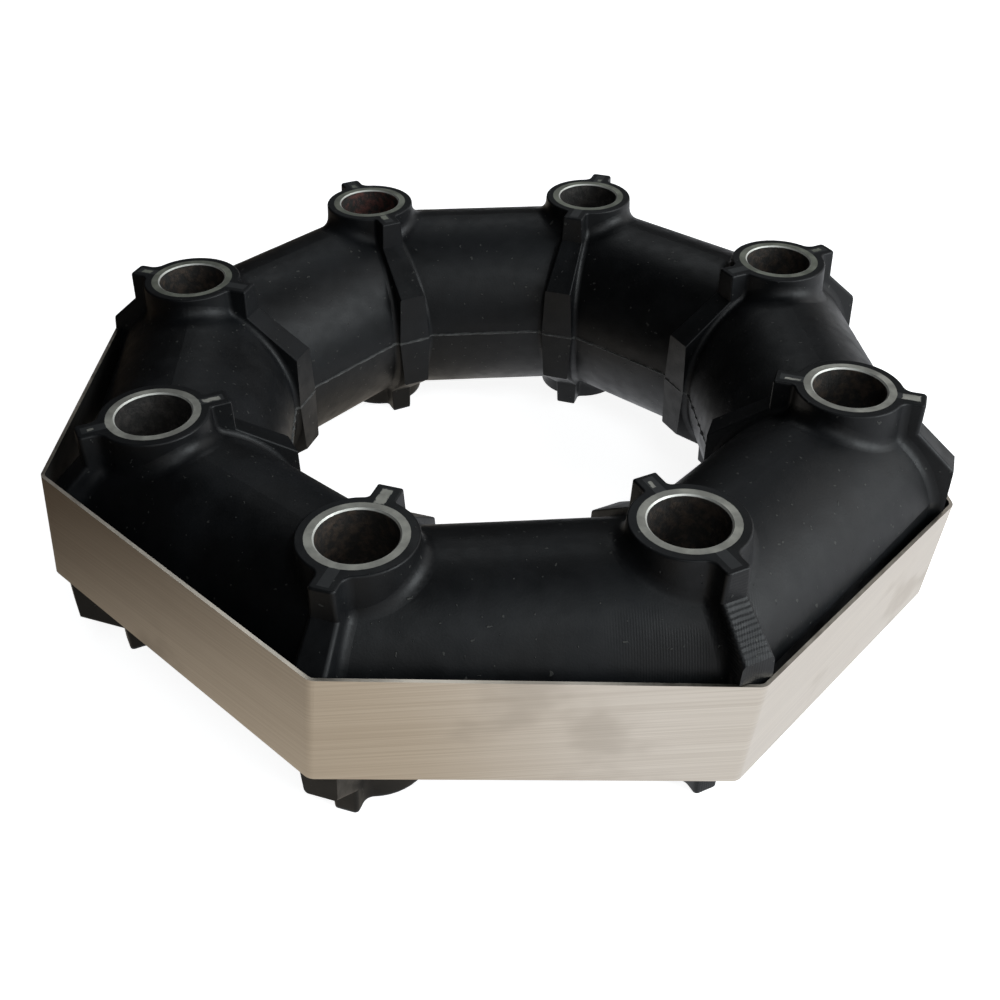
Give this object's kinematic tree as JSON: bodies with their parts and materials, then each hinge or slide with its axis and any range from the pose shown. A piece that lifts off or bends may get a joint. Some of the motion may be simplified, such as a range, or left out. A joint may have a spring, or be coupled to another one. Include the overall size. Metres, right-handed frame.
{
  "type": "flexible rubber ring shaft coupling",
  "caption": "Flexible octagonal rubber ring coupling with bonded steel bushes on a bolt circle, held in compression by a thin steel band.",
  "frame": {"origin": "centre of the bolt circle, on the lower end faces of the bushes", "axes": "+Z along the shafts' axis, upwards as it lies; one flat side of the octagon faces -Y, and the band's high side is towards -X"},
  "size_m": [0.2534, 0.2532, 0.076],
  "materials": {
    "rubber": "moulded black rubber, satin",
    "bush_steel": "machined end faces, dull oxidised bore",
    "band_steel": "cold-rolled strip, satin"
  },
  "bodies": {
    "root": {"bush_1": "bush_steel", "bush_2": "bush_steel", "bush_3": "bush_steel", "bush_4": "bush_steel", "bush_5": "bush_steel", "bush_6": "bush_steel", "bush_7": "bush_steel", "bush_8": "bush_steel", "rubber_ring": "rubber", "retaining_band": "band_steel"}
  },
  "joints": []
}
